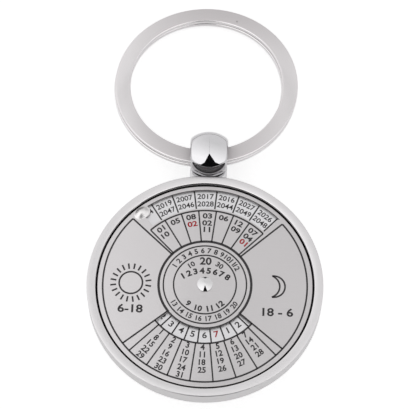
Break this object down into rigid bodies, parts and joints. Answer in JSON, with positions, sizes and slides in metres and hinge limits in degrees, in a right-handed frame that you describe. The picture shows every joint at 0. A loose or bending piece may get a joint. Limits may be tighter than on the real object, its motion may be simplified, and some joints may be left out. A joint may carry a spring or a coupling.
{
  "type": "perpetual calendar keyring",
  "caption": "Round metal keyring with a turning calendar plate over a fixed printed dial, a domed centre rivet, a ball-shaped bail and a flat split ring.",
  "frame": {"origin": "centre of the case's flat back face, on the pivot axis of the calendar plate", "axes": "+Z out of the dial face, +Y from the pivot towards the bail and the ring, +X to the right of the dial"},
  "size_m": [0.04, 0.0744, 0.0078],
  "materials": {
    "rim_chrome": "polished",
    "bail_chrome": "mirror",
    "plate_satin": "brushed",
    "dial_white": "matte",
    "rivet_polished": "polished",
    "ring_nickel": "satin",
    "washer_plastic": "matte",
    "adhesive": "matte",
    "pin_steel": "satin"
  },
  "bodies": {
    "case": {"case_body": "rim_chrome", "bail": "bail_chrome", "bail_pin": "pin_steel", "dial_adhesive": "adhesive", "year_dial": "dial_white", "friction_washer": "washer_plastic", "pivot_rivet": "rivet_polished"},
    "plate": {"calendar_plate": "plate_satin"},
    "ring": {"split_ring": "ring_nickel"}
  },
  "joints": [
    {"name": "plate_turn", "type": "hinge", "parent": "case", "child": "plate", "pos_m": [0, 0, 0.0032], "axis": [0, 0, 1], "continuous": true},
    {"name": "ring_swing", "type": "hinge", "parent": "case", "child": "ring", "pos_m": [0, 0.0236, 0.0037], "axis": [1, 0, 0], "range_deg": [-137, 174]}
  ]
}
